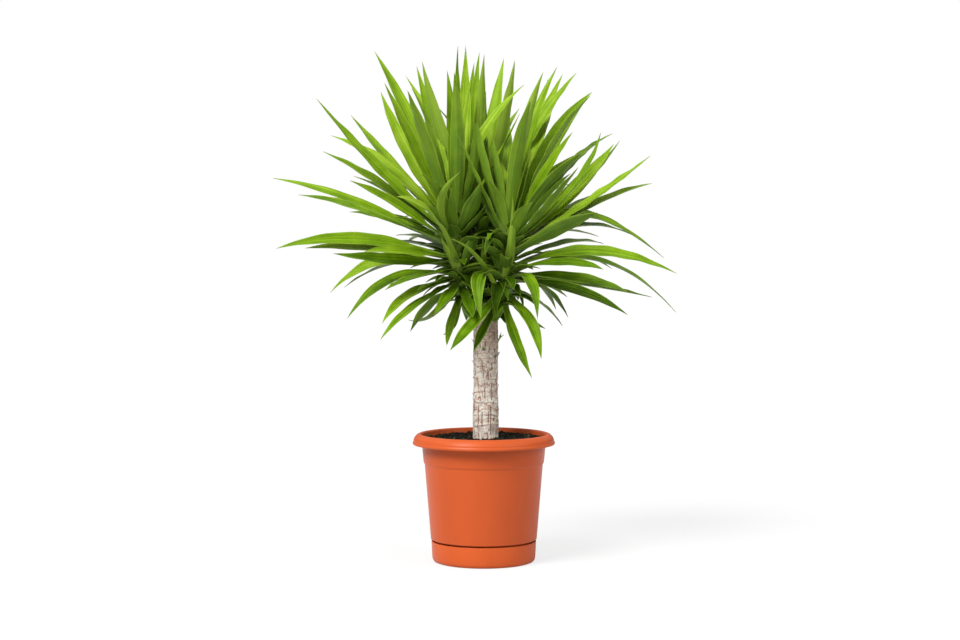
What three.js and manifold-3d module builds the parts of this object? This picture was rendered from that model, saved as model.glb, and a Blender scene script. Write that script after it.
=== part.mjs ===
// A yucca cane with three leafy heads, in a round plastic pot that stands in its saucer.
// Millimetres, +Z up. The origin is the centre of the saucer's flat underside.

import * as THREE from 'three';
import { mergeVertices } from 'three/addons/utils/BufferGeometryUtils.js';
import Module from 'manifold-3d';

const wasm = await Module();
wasm.setup();

// Driving dimensions of the holder
const FACETS = 32;
const RUN_GAP = 0.3;
const RIM_R = 150;
const POT_HEIGHT = 270;
const WALL = 2.8;
const SHOULDER_R = 111.8;
const BAND_R = 127;
const BAND_UNDER_R = 124.7;
const SOIL_CLEARANCE = 0.5;
const SAUCER_FLOOR = 3;
const POT_FLOOR_UNDER = 9;
const POT_FLOOR_TOP = 12;
const FOOT_RING_IN = 94;
const FOOT_RING_OUT = 98.5;
const DRAIN_HOLES = 6;
const DRAIN_R = 5;
const DRAIN_SIDES = 10;
const DRAIN_RING_R = 58;
const NOTCHES = 3;
const NOTCH_WIDTH = 14;
const NOTCH_HEIGHT = 3;

// Driving dimensions of the cane and the soil
const SOIL_LEVEL = 260;
const SOIL_LUMPS = 2;
const SOIL_EDGE_DROP = 2;
const CANE_X = 4;
const CANE_R = 27;
const CANE_FOOT = 70;
const CANE_TOP = 548;
const CANE_SIDES = 14;
const SCAR_PITCH = 25;
const SCAR_FIRST = 264;
const SCARS_BURIED = 1;
const SCAR_RISE = 1.3;
const SCAR_UNDER = 5;
const SCAR_OVER = 4;
const SCAR_WANDER = 3;
const BURIED_R = 27.5;

// Where the plant was looked at from. A leaf's place is given as it shows from there, on the upright
// plane through the pot's axis, so a nearer or further leaf keeps its place in the view
const EYE = new THREE.Vector3(-8, -4200, 700);

const SHOOT_R = 13;
const SHOOT_TAPER = 0.35;
const SHOOT_SIDES = 8;
const SHOOT_STATIONS = [0, 0.15, 0.3, 0.5, 0.7, 0.9];

// Leaf blades. The lowest leaf leaves its shoot at ROOT_FROM of its length and the topmost at
// ROOT_FROM + 2 ROOT_SPAN, and HEART is the point that their rise is reckoned from
const HEART = 0.62;
const ROOT_FROM = 0.42;
const ROOT_SPAN = 0.27;
const LEAN = 0.3;
const GOLDEN_ANGLE = 137.5;
const ARCH = 0.2;
const ARCH_AT = 0.52;
const BLADE_THICKNESS = 2.2;
const ROOT_THICKNESS = 3;
const CHANNEL = 0.24;
const LEAF_CLEARANCE = 0.8;
const SLIVER = 0.1;
const FIRST_FREE_STATION = 1;
// [place along the blade, share of the width, share of the roll]
const OUTLINE = [
  [0, 0.24, 0],
  [0.2, 0.62, 0.5],
  [0.42, 0.97, 1],
  [0.66, 0.92, 1],
  [0.86, 0.52, 1],
];
const SHORT_REACH = 150;
const SHORT_OUTLINE = [
  [0, 0.34, 0],
  [0.3, 0.74, 0.7],
  [0.62, 0.96, 1],
];

const COLOURS = {
  pot: 0xd9643a,
  saucer: 0xdb6740,
  soil: 0x1d1812,
  cane: 0xc4b3a4,
  leaf: 0x64871c,
};

// The three green shoots that leave the cane under its sawn top: the four points that a shoot's
// curve is pulled by, how many of each kind in HIDDEN it grows, and its leaves that show from the
// front. A leaf is [middle x, middle z, tip x, tip z, tip y, width, roll in degrees], and roll turns
// the upper face towards the front
const HEADS = {
  head_left: {
    shoot: [[-2, -2, 512], [-56, -14, 528], [-54, -18, 610], [-60, -17, 705]],
    seed: 11,
    hidden: [13, 7, 6],
    leaves: [
      [-206, 808, -351, 974, -60, 36, 40],
      [-178, 815, -279, 939, 170, 34, 10],
      [-187, 818, -321, 896, 60, 34, 30],
      [-206, 785, -338, 863, -10, 32, 30],
      [-176, 760, -273, 811, 120, 30, 5],
      [-172, 741, -281, 802, -230, 38, 50],
      [-262, 752, -443, 807, -60, 34, 30],
      [-229, 733, -390, 772, 60, 30, 20],
      [-172, 714, -283, 736, 130, 30, 20],
      [-256, 677, -437, 659, -100, 34, 50],
      [-229, 660, -376, 660, -130, 32, 42],
      [-160, 653, -252, 653, -190, 30, 40],
      [-189, 634, -317, 649, -200, 34, 48],
      [-124, 680, -185, 687, 200, 28, 0],
      [-145, 670, -220, 672, 160, 28, 0],
      [-202, 636, -324, 565, 40, 30, 25],
      [-185, 596, -288, 511, -140, 32, 25],
      [-141, 598, -208, 572, -230, 34, 0],
      [-151, 563, -214, 501, -130, 30, 20],
      [-109, 586, -141, 571, -90, 16, 0],
      [-147, 536, -218, 467, -170, 26, 10],
      [-111, 540, -155, 484, 60, 28, -20],
      [-76, 557, -105, 519, -150, 28, 0],
      [-105, 519, -160, 510, 100, 24, 0],
      [-66, 510, -78, 455, -80, 20, 0],
      [-59, 504, -86, 478, -60, 14, 0],
      [-34, 550, -23, 515, -110, 28, 0],
      [-109, 716, -183, 768, -230, 34, 10],
      [-92, 750, -50, 819, -140, 18, 30],
      [-65, 729, -67, 785, -100, 20, 0],
      [-29, 733, -7, 797, -90, 36, -10],
      [17, 823, 75, 942, -60, 30, 20],
      [-48, 855, -25, 1023, -20, 34, 30],
      [-44, 886, -38, 1084, 60, 32, 20],
      [-55, 865, -62, 1029, -120, 32, 0],
      [-62, 865, -77, 1033, 80, 32, 0],
      [-97, 865, -141, 1042, 100, 32, -10],
      [-105, 876, -151, 995, -80, 34, 20],
      [-117, 862, -160, 991, -150, 32, 0],
      [-147, 907, -229, 1072, 100, 34, 20],
      [-145, 865, -208, 1006, -40, 38, 45],
      [-157, 853, -216, 988, 50, 30, -10],
      [-21, 823, -19, 926, -60, 28, 0],
      [-29, 701, 6, 752, -40, 30, 0],
      [-34, 685, -8, 630, 40, 34, 0],
      [-29, 632, -4, 559, 30, 34, 0],
      [-38, 603, -17, 550, -60, 32, 0],
    ],
  },
  head_right: {
    shoot: [[9, -3, 510], [44, -32, 522], [45, -38, 600], [50, -39, 685]],
    seed: 29,
    hidden: [12, 7, 6],
    leaves: [
      [-21, 502, -71, 445, -150, 32, 15],
      [4, 491, -21, 443, -110, 30, -10],
      [-6, 603, -6, 512, -150, 32, 0],
      [92, 596, 113, 509, -170, 30, 0],
      [95, 508, 121, 426, -120, 28, 15],
      [65, 466, 102, 386, -110, 28, 0],
      [84, 517, 130, 491, -60, 26, 10],
      [-10, 792, -57, 901, -100, 30, 20],
      [31, 792, 18, 893, -80, 24, 0],
      [78, 754, 95, 834, -40, 22, 0],
      [59, 714, 60, 768, -110, 22, 0],
      [27, 691, 8, 676, -130, 26, -25],
      [-12, 632, -68, 680, -150, 26, 20],
      [111, 550, 166, 496, 60, 28, 20],
      [120, 578, 178, 513, 80, 26, 0],
      [118, 586, 176, 557, 130, 26, 0],
      [185, 573, 304, 519, -60, 32, 40],
      [212, 582, 355, 557, 40, 30, 18],
      [191, 596, 302, 569, -130, 32, 35],
      [107, 601, 155, 592, 180, 28, 0],
      [166, 628, 252, 615, -170, 32, 30],
      [223, 652, 407, 606, -60, 34, 42],
      [235, 634, 405, 524, 60, 30, 10],
      [170, 670, 252, 669, 120, 30, 0],
      [181, 731, 380, 638, 90, 32, 25],
      [187, 704, 321, 683, 100, 30, 15],
      [155, 697, 239, 735, -220, 36, -35],
      [218, 754, 349, 854, -60, 34, 25],
      [223, 746, 353, 796, -100, 32, 38],
      [160, 729, 237, 775, 160, 30, 0],
      [176, 767, 273, 879, 120, 38, 35],
      [191, 771, 285, 886, 180, 30, -10],
      [183, 779, 245, 903, 60, 30, 0],
      [170, 819, 270, 900, 200, 30, 0],
      [128, 781, 207, 862, -120, 32, -30],
      [134, 748, 198, 830, -180, 30, 10],
      [128, 760, 182, 817, -60, 28, -10],
      [124, 804, 186, 903, -100, 40, 40],
      [134, 865, 227, 987, 120, 38, 40],
      [139, 859, 223, 979, 60, 36, -35],
      [111, 876, 153, 985, 180, 30, 0],
      [90, 876, 154, 1040, 30, 32, 20],
      [76, 865, 125, 1030, -40, 30, -30],
      [71, 848, 98, 970, -130, 34, 0],
      [2, 823, -14, 928, -70, 26, 0],
      [21, 712, -17, 785, -50, 32, 0],
      [27, 632, 4, 567, 40, 34, 0],
      [34, 584, 21, 512, -80, 32, 0],
      [63, 577, 84, 533, -40, 28, 0],
    ],
  },
  head_back: {
    shoot: [[3, 6, 510], [2, 50, 518], [-6, 56, 600], [-10, 61, 715]],
    seed: 47,
    hidden: [15, 6, 4],
    leaves: [
      [101, 893, 194, 1027, 100, 34, 30],
      [97, 886, 165, 1024, 180, 30, 10],
      [84, 865, 135, 1016, 130, 30, 0],
      [27, 844, 62, 982, 100, 28, 0],
      [36, 886, 65, 1054, 30, 32, 20],
      [15, 886, 42, 1058, 150, 36, 0],
      [2, 844, 4, 989, 60, 24, 0],
      [-8, 886, 1, 1067, 80, 28, 0],
      [-21, 886, -9, 1071, 160, 28, 0],
      [-29, 876, -20, 1049, 200, 28, 0],
      [-46, 886, -54, 1084, 130, 28, 0],
      [-46, 865, -101, 958, 120, 28, 0],
      [-84, 876, -129, 1051, 20, 36, 30],
      [-78, 865, -164, 1021, 180, 32, 20],
      [-2, 771, 8, 892, -10, 34, 0],
      [-25, 729, -29, 834, 0, 34, 0],
      [19, 735, 34, 829, 10, 32, 0],
      [-15, 729, -38, 676, 20, 34, 8],
      [19, 725, 36, 662, 10, 32, -8],
      [2, 664, 6, 599, -30, 33, 5],
    ],
  },
};

function solidOf(geometry) {
  const bare = geometry.clone();
  bare.deleteAttribute('normal');
  bare.deleteAttribute('uv');
  const merged = mergeVertices(bare, 1e-4);
  return new wasm.Manifold(
    new wasm.Mesh({
      numProp: 3,
      vertProperties: new Float32Array(merged.attributes.position.array),
      triVerts: new Uint32Array(merged.index.array),
    }),
  );
}

function geometryOf(solid) {
  const mesh = solid.getMesh();
  const geometry = new THREE.BufferGeometry();
  geometry.setAttribute('position', new THREE.BufferAttribute(mesh.vertProperties, 3));
  geometry.setIndex(new THREE.BufferAttribute(mesh.triVerts, 1));
  geometry.computeVertexNormals();
  return geometry;
}

// A profile of [radius, height] points turned about the Z axis
function turned(profile) {
  const points = profile.map(([r, z]) => new THREE.Vector2(r, z));
  return new THREE.LatheGeometry(points, FACETS).rotateX(Math.PI / 2);
}

// A closed skin over rings of points, each ring turning the same way, with a point at either end.
// With alike, quads on the two faces of a flat ring of four are split along the same line
function loft(first, rings, last, alike = false) {
  const sides = rings[0].length;
  const points = [first, ...rings.flat(), last];
  const end = points.length - 1;
  const index = [];
  const at = (ring, side) => 1 + ring * sides + (side % sides);
  for (let side = 0; side < sides; side += 1) {
    index.push(0, at(0, side + 1), at(0, side));
    index.push(end, at(rings.length - 1, side), at(rings.length - 1, side + 1));
  }
  for (let ring = 0; ring < rings.length - 1; ring += 1) {
    for (let side = 0; side < sides; side += 1) {
      const [a, b] = [at(ring, side), at(ring, side + 1)];
      const [c, d] = [at(ring + 1, side + 1), at(ring + 1, side)];
      if (alike && side % 2 === 1) {
        index.push(a, b, d, b, c, d);
      } else {
        index.push(a, b, c, a, c, d);
      }
    }
  }
  const geometry = new THREE.BufferGeometry().setFromPoints(points);
  geometry.setIndex(index);
  geometry.computeVertexNormals();
  return geometry;
}

function makeSaucer() {
  return turned([
    [0, 0],
    [101, 0],
    [105.6, 1.6],
    [108.2, 6],
    [109, 12],
    [110.5, 43.8],
    [107.8, 43.8],
    [106.3, 12.5],
    [103.6, 5.4],
    [100.5, SAUCER_FLOOR],
    [0, SAUCER_FLOOR],
  ]);
}

// The wall outside from the shoulder to the rim, and the rolled rim with the hollow under it
function makePot() {
  const foot = [
    [0, POT_FLOOR_UNDER],
    [FOOT_RING_IN, POT_FLOOR_UNDER],
    [FOOT_RING_IN, SAUCER_FLOOR],
    [FOOT_RING_OUT, SAUCER_FLOOR],
    [104.8, 47.3],
    [SHOULDER_R, 47.9],
  ];
  const wall = [
    [BAND_UNDER_R, 206],
    [BAND_R, 210],
    [129.3, 235],
    [130.6, 250],
  ];
  const underRim = [
    [134, 262],
    [141.5, 261],
    [147.2, 248],
  ];
  const rim = [
    [149.3, 248],
    [RIM_R, 249.5],
    [RIM_R, 252.3],
    [148.3, 255],
    [148.2, 257.2],
    [146, 262.6],
    [141, 268],
    [136.5, POT_HEIGHT],
    [133, POT_HEIGHT],
    [130.6, 267.5],
  ];
  const inside = [
    [127.8, 250],
    [129.3 - WALL, 235],
    [BAND_R - WALL, 210.5],
    [BAND_UNDER_R - WALL, 206.5],
    [SHOULDER_R - WALL, 50.9],
    [101.8, 50.1],
    [96.6, POT_FLOOR_TOP],
    [0, POT_FLOOR_TOP],
  ];
  let pot = solidOf(turned([...foot, ...wall, ...underRim, ...rim, ...inside]));
  for (let hole = 0; hole < DRAIN_HOLES; hole += 1) {
    const angle = (hole / DRAIN_HOLES) * 2 * Math.PI;
    const [x, y] = [DRAIN_RING_R * Math.cos(angle), DRAIN_RING_R * Math.sin(angle)];
    const drill = new THREE.CylinderGeometry(DRAIN_R, DRAIN_R, POT_FLOOR_TOP, DRAIN_SIDES);
    drill.rotateX(Math.PI / 2).translate(x, y, POT_FLOOR_UNDER);
    pot = pot.subtract(solidOf(drill));
  }
  for (let notch = 0; notch < NOTCHES; notch += 1) {
    const cutter = new THREE.BoxGeometry(NOTCH_WIDTH, NOTCH_WIDTH, 2 * NOTCH_HEIGHT);
    cutter.translate(FOOT_RING_OUT, 0, SAUCER_FLOOR);
    cutter.rotateZ(((notch + 0.5) / NOTCHES) * 2 * Math.PI);
    pot = pot.subtract(solidOf(cutter));
  }
  return geometryOf(pot);
}

function ringAt(radius, height, sides, centreX = 0) {
  return Array.from({ length: sides }, (_, side) => {
    const angle = (side / sides) * 2 * Math.PI;
    const r = typeof radius === 'function' ? radius(angle) : radius;
    const z = typeof height === 'function' ? height(angle, r) : height;
    return new THREE.Vector3(centreX + r * Math.cos(angle), r * Math.sin(angle), z);
  });
}

// Lumps of potting soil, as a few waves over each other
function soilHeight(angle, r) {
  const x = r * Math.cos(angle);
  const y = r * Math.sin(angle);
  const lumps = Math.sin(x / 9 + 1.3) * Math.sin(y / 11) + 0.7 * Math.sin(x / 5 - y / 6);
  return SOIL_LEVEL + SOIL_LUMPS * lumps;
}

// The soil fills the pot to under the rim, with a plain hole for the cane's foot
function makeSoil() {
  const hole = BURIED_R + RUN_GAP;
  const wall = [
    ringAt(96, POT_FLOOR_TOP, FACETS),
    ringAt(101.2, 50.7, FACETS),
    ringAt(SHOULDER_R - WALL - SOIL_CLEARANCE, 51.6, FACETS),
    ringAt(BAND_UNDER_R - WALL - SOIL_CLEARANCE, 206.8, FACETS),
    ringAt(BAND_R - WALL - SOIL_CLEARANCE, 211, FACETS),
    ringAt(126, 235, FACETS),
    ringAt(127.3, 250, FACETS),
    ringAt(128.4, SOIL_LEVEL - SOIL_EDGE_DROP, FACETS),
  ];
  const top = [122, 106, 89, 72, 56, 42].map((r) => ringAt(r, soilHeight, FACETS));
  const bore = [
    ringAt(hole, SOIL_LEVEL + 1, FACETS, CANE_X),
    ringAt(hole, CANE_FOOT, FACETS, CANE_X),
  ];
  const under = new THREE.Vector3(0, 0, POT_FLOOR_TOP);
  const seat = new THREE.Vector3(CANE_X, 0, CANE_FOOT);
  return loft(under, [...wall, ...top, ...bore], seat);
}

// The cane swells and thins a little, and each old leaf has left a raised scar round it
function caneRings(grow) {
  const rings = [
    ringAt(BURIED_R + grow, CANE_FOOT - grow, CANE_SIDES, CANE_X),
    ringAt(BURIED_R + grow, SOIL_LEVEL + 4, CANE_SIDES, CANE_X),
  ];
  const scars = Math.floor((CANE_TOP - SCAR_FIRST) / SCAR_PITCH);
  for (let scar = SCARS_BURIED; scar < scars; scar += 1) {
    const z = SCAR_FIRST + SCAR_PITCH * scar + SCAR_WANDER * Math.sin(2.4 * scar);
    const r = CANE_R - 0.8 + 0.6 * Math.sin(1.1 * scar);
    const tilt = (angle) => SCAR_WANDER * Math.sin(angle + 1.9 * scar);
    const body = (angle) => r + 0.5 * Math.sin(2 * angle + 0.7 * scar) + grow;
    const ridge = (angle) => body(angle) + SCAR_RISE;
    rings.push(ringAt(body, (angle) => z - SCAR_UNDER + tilt(angle), CANE_SIDES, CANE_X));
    rings.push(ringAt(ridge, (angle) => z + tilt(angle), CANE_SIDES, CANE_X));
    rings.push(ringAt(body, (angle) => z + SCAR_OVER + tilt(angle), CANE_SIDES, CANE_X));
  }
  rings.push(ringAt(CANE_R - 2 + grow, CANE_TOP + grow, CANE_SIDES, CANE_X));
  return rings;
}

function makeCane(grow = 0) {
  const foot = new THREE.Vector3(CANE_X, 0, CANE_FOOT - grow);
  const top = new THREE.Vector3(CANE_X, 0, CANE_TOP + grow);
  return loft(foot, caneRings(grow), top);
}

// The place at depth y that shows at x, z on the plane through the pot's axis
function placeOf(x, z, y) {
  const onPlane = new THREE.Vector3(x, 0, z);
  return onPlane.sub(EYE).multiplyScalar(1 - y / EYE.y).add(EYE);
}

// The rings of a blade: each has its upper middle, one edge, its under middle and the other edge
function bladeRings(root, middle, tip, width, roll, outline) {
  const pull = middle.clone().multiplyScalar(2).addScaledVector(root, -0.5).addScaledVector(tip, -0.5);
  const curve = new THREE.QuadraticBezierCurve3(root, pull, tip);
  const out = tip.clone().sub(root).setZ(0).normalize();
  const up = new THREE.Vector3(0, 0, 1).addScaledVector(out, tip.z > root.z ? -LEAN : LEAN);
  const front = new THREE.Vector3(0, -1, 0);
  const chord = tip.clone().sub(root);
  const side = Math.sign(chord.cross(up).dot(front)) || 1;
  return outline.map(([u, share, turn]) => {
    const angle = (side * turn * roll * Math.PI) / 180;
    const centre = curve.getPoint(u);
    const along = curve.getTangent(u);
    const across = along.clone().cross(up).normalize();
    const upper = across.clone().cross(along);
    const turnedUpper = upper.clone().multiplyScalar(Math.cos(angle));
    turnedUpper.addScaledVector(across, Math.sin(angle));
    const turnedAcross = along.clone().cross(turnedUpper);
    const half = (share * width) / 2;
    const thick = (u === 0 ? ROOT_THICKNESS : BLADE_THICKNESS) / 2;
    const raised = centre.clone().addScaledVector(turnedUpper, CHANNEL * half);
    return [
      centre.clone().addScaledVector(turnedUpper, thick),
      raised.clone().addScaledVector(turnedAcross, half),
      centre.clone().addScaledVector(turnedUpper, -thick),
      raised.clone().addScaledVector(turnedAcross, -half),
    ];
  });
}

function largest(solid) {
  return solid.decompose().reduce((a, b) => (a.volume() > b.volume() ? a : b));
}

function bladeOf(rings, tip) {
  const first = rings[0][0].clone().add(rings[0][2]).multiplyScalar(0.5);
  return solidOf(loft(first, rings, tip, true));
}

function nextRandom(state) {
  state.seed = (state.seed * 16807) % 2147483647;
  return state.seed / 2147483647;
}

function shootCurve(points) {
  return new THREE.CubicBezierCurve3(...points.map((p) => new THREE.Vector3(...p)));
}

// Leaves that don't show one by one from the front, turned by the golden angle: the ones on the
// far side, the young ones round the top, and short ones all along the shoot. Each range is
// [least, most]
const HIDDEN = [
  { spread: 54, rise: [-14, 72], reach: [310, 385], width: [29, 37], outline: OUTLINE },
  { spread: 180, rise: [28, 82], reach: [150, 260], width: [22, 29], outline: SHORT_OUTLINE },
  { spread: 180, rise: [-25, 55], reach: [85, 140], width: [19, 25], outline: SHORT_OUTLINE },
];

function hiddenLeaves(head, kind) {
  const state = { seed: head.seed };
  const { spread, rise, reach, width, outline } = HIDDEN[kind];
  const between = ([least, most], share) => least + (most - least) * share;
  const leaves = [];
  for (let turn = 0; leaves.length < head.hidden[kind]; turn += 1) {
    const bearing = ((turn * GOLDEN_ANGLE + head.seed * 7) % 360) - 180;
    const draw = [nextRandom(state), nextRandom(state), nextRandom(state)];
    if (Math.abs(bearing) <= spread) {
      leaves.push({
        bearing,
        rise: between(rise, leaves.length / head.hidden[kind]),
        reach: between(reach, draw[0]),
        width: between(width, draw[1]),
        roll: between([-25, 25], draw[2]),
        outline,
      });
    }
  }
  return leaves;
}

// Old leaves hang from the foot of a head and young ones rise from its top
function rootOf(curve, rise) {
  return curve.getPoint(ROOT_FROM + ROOT_SPAN * (rise + 1));
}

const STEPS = [0, 1, -1, 2, -2, 3, -3, 4, -4, 5, -5, 6, -6, 7, -7];
const DEPTH_STEP = 28;
const BEARING_STEP = 5;

function pathOf(leaf, curve, step) {
  if (leaf.bearing !== undefined) {
    const bearing = ((leaf.bearing + step * BEARING_STEP) * Math.PI) / 180;
    const rise = (leaf.rise * Math.PI) / 180;
    const root = rootOf(curve, Math.sin(rise));
    const way = (angle, length) =>
      new THREE.Vector3(
        length * Math.cos(angle) * Math.sin(bearing),
        length * Math.cos(angle) * Math.cos(bearing),
        length * Math.sin(angle),
      ).add(root);
    return { root, middle: way(rise + ARCH, ARCH_AT * leaf.reach), tip: way(rise, leaf.reach) };
  }
  const [middleX, middleZ, tipX, tipZ, y] = leaf.seen;
  const tipY = y + step * DEPTH_STEP;
  const tip = placeOf(tipX, tipZ, tipY);
  const heart = curve.getPoint(HEART);
  const rise = (tip.z - heart.z) / tip.distanceTo(heart);
  const root = rootOf(curve, rise);
  const middle = placeOf(middleX, middleZ, (root.y + tipY) / 2);
  return { root, middle, tip };
}

function makeShoot(curve) {
  const rings = SHOOT_STATIONS.map((u) => {
    const centre = curve.getPoint(u);
    const along = curve.getTangent(u);
    const across = new THREE.Vector3(0, 1, 0).cross(along).normalize();
    const third = along.clone().cross(across);
    const r = SHOOT_R * (1 - SHOOT_TAPER * u);
    return Array.from({ length: SHOOT_SIDES }, (_, side) => {
      const angle = (side / SHOOT_SIDES) * 2 * Math.PI;
      return centre
        .clone()
        .addScaledVector(across, r * Math.cos(angle))
        .addScaledVector(third, r * Math.sin(angle));
    });
  });
  return solidOf(loft(curve.getPoint(0), rings, curve.getPoint(1)));
}

const fatCane = solidOf(makeCane(RUN_GAP));
const names = Object.keys(HEADS);
const curves = names.map((name) => shootCurve(HEADS[name].shoot));
const shoots = curves.map((curve) => makeShoot(curve).subtract(fatCane));
const grown = names.map(() => []);

function meets(box, other) {
  return [0, 1, 2].every((axis) => box.min[axis] < other.max[axis] && other.min[axis] < box.max[axis]);
}

// Adds a leaf at the first step at which it is clear of what has grown: of its own head past its
// root, and of the other heads all along. A leaf with no such place doesn't grow
function grow(head, leaf) {
  for (const step of STEPS) {
    const { root, middle, tip } = pathOf(leaf, curves[head], step);
    const outline = leaf.outline ?? (tip.distanceTo(root) < SHORT_REACH ? SHORT_OUTLINE : OUTLINE);
    const rings = bladeRings(root, middle, tip, leaf.width, leaf.roll, outline);
    const whole = bladeOf(rings, tip);
    const free = bladeOf(rings.slice(FIRST_FREE_STATION), tip);
    const box = whole.boundingBox();
    const near = (other) => meets(box, other.box);
    const clearOf = (a, b) => a.minGap(b, LEAF_CLEARANCE) >= LEAF_CLEARANCE;
    const clear = grown.every((leaves, index) =>
      leaves
        .filter(near)
        .every((other) => (index === head ? clearOf(free, other.free) : clearOf(whole, other.whole))),
    );
    const ofShoots = shoots.every((shoot, index) => clearOf(index === head ? free : whole, shoot));
    if (clear && ofShoots && clearOf(free, fatCane)) {
      grown[head].push({ whole, free, box });
      return;
    }
  }
}

names.forEach((name, head) => {
  HEADS[name].leaves.forEach((seen) => {
    grow(head, { seen, width: seen[5], roll: seen[6] });
  });
});
HIDDEN.forEach((_, kind) => {
  names.forEach((name, head) => {
    hiddenLeaves(HEADS[name], kind).forEach((leaf) => grow(head, leaf));
  });
});

const plant = new THREE.Group();
function add(name, geometry, colour, roughness) {
  const material = new THREE.MeshStandardMaterial({ color: colour, roughness, metalness: 0 });
  const mesh = new THREE.Mesh(geometry, material);
  mesh.name = name;
  plant.add(mesh);
}

add('saucer', makeSaucer(), COLOURS.saucer, 0.5);
add('pot', makePot(), COLOURS.pot, 0.5);
add('soil', makeSoil(), COLOURS.soil, 1);
add('cane', makeCane(), COLOURS.cane, 0.9);
names.forEach((name, head) => {
  const fused = wasm.Manifold.union([shoots[head], ...grown[head].map((leaf) => leaf.whole)]);
  const geometry = geometryOf(largest(fused.subtract(fatCane)).simplify(SLIVER));
  add(name, geometry, COLOURS.leaf, 0.4);
});

export default plant;
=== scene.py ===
# A yucca on a bare cane in a terracotta-coloured plastic pot and saucer.
# +Z up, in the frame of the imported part. Sizes and places are in millimetres, as they are in the
# part's source, until MM brings each piece's mesh and the camera to metres.

import math

import bpy
import numpy as np
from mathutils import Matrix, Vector


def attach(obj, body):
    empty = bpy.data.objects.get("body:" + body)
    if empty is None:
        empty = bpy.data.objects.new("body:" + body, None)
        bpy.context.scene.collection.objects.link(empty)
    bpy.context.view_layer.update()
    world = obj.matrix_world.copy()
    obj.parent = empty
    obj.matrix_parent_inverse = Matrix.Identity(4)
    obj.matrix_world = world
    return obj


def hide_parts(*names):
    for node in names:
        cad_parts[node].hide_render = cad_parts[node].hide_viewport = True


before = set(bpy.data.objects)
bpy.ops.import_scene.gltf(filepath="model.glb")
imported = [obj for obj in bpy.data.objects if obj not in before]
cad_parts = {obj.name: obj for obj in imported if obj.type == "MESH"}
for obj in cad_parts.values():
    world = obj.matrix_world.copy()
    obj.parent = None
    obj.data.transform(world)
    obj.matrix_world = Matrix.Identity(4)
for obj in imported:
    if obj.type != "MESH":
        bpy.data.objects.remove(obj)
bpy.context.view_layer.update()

MM = 0.001
UP = np.array([0.0, 0.0, 1.0])

# The places of the cane and the soil, as in the solids
SOIL_LEVEL = 260
SOIL_LUMPS = 2
SOIL_EDGE_DROP = 2
CANE_X = 4
CANE_R = 27
CANE_FOOT = 70
CANE_TOP = 548
SCAR_PITCH = 25
SCAR_FIRST = 264
SCARS = (CANE_TOP - SCAR_FIRST) // SCAR_PITCH
SCARS_BURIED = 1
SCAR_RISE = 1.3
SCAR_WANDER = 3
BURIED_R = 27
POT_FLOOR_TOP = 12

# Where the photograph was taken from, how far the camera looks down in degrees, and its lens
EYE = np.array([-8.0, -4200.0, 700.0])
TILT = 2.6
LENS = 75
SENSOR = 36

# How a head grows its leaves, as in the solids: on its shoot, the point that their rise is
# reckoned from, the lowest root, and half the stretch of the roots, and then the rest
HEART = 0.62
ROOT_FROM = 0.42
ROOT_SPAN = 0.27
LEAN = 0.3
GOLDEN_ANGLE = 137.5
ARCH = 0.2
ARCH_AT = 0.52
SHOOT_R = 13
SHOOT_TAPER = 0.35
CHANNEL = 0.34
STEPS = (0, 1, -1, 2, -2, 3, -3, 4, -4, 5, -5, 6, -6, 7, -7)
DEPTH_STEP = 28
BEARING_STEP = 5
SHORT_REACH = 150

# How near in metres a tip has to lie to a corner of the solid to be taken for that corner
SAME_TIP = 0.0004

# How a blade is modelled: how much deeper its channel is at the root and how far that reaches, how
# softly it folds, the swing and length of its waves (least, most), the height of its pleats, its
# thickness at the root and further out, and half that of its edge
BASE_CUP = 0.45
BASE_CUP_REACH = 0.1
FOLD_SOFTNESS = 0.05
WAVE_SWING = (0.4, 1.3)
WAVE_LENGTH = (55, 95)
PLEAT = 0.22
THICKNESS = (2.6, 1.7)
EDGE_THICKNESS = 0.15

# The shapes of a blade: (place along it, share of the width) and (place, share of the roll)
SHORT_ROLL = [(0, 0), (0.3, 0.7), (0.62, 1), (1, 1)]
LONG_BLADE = {
    "width": [
        (0, 0.8), (0.06, 0.66), (0.13, 0.58), (0.22, 0.66), (0.42, 0.97), (0.64, 0.88), (0.8, 0.56),
        (0.91, 0.25), (1, 0),
    ],  # fmt: skip
    "roll": [(0, 0), (0.2, 0.5), (0.42, 1), (1, 1)],
}
SHORT_BLADE = {
    "width": [(0, 0.7), (0.1, 0.6), (0.3, 0.76), (0.62, 0.97), (0.82, 0.58), (0.94, 0.24), (1, 0)],
    "roll": SHORT_ROLL,
}
SHEATH_BLADE = {
    "width": [(0, 0.95), (0.2, 0.85), (0.42, 0.97), (0.6, 0.8), (0.8, 0.4), (0.92, 0.2), (1, 0)],
    "roll": SHORT_ROLL,
}

# How pale a leaf is at its root and how far that reaches along it: a plain leaf, then a sheath,
# whose stronger paleness is partly its own pale base and partly painted highlight
PALE_SHARE = (0.4, 0.75)
PALE_REACH = (0.2, 0.4)

# What each point of a leaf and of the cane carries for its material
LEAF_VALUES = ("along", "across", "upper", "tone", "lot", "pale")
BARK_VALUES = ("fissure", "scar", "seam_and_shade", "flake", "knot", "crown_shade")
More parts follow.
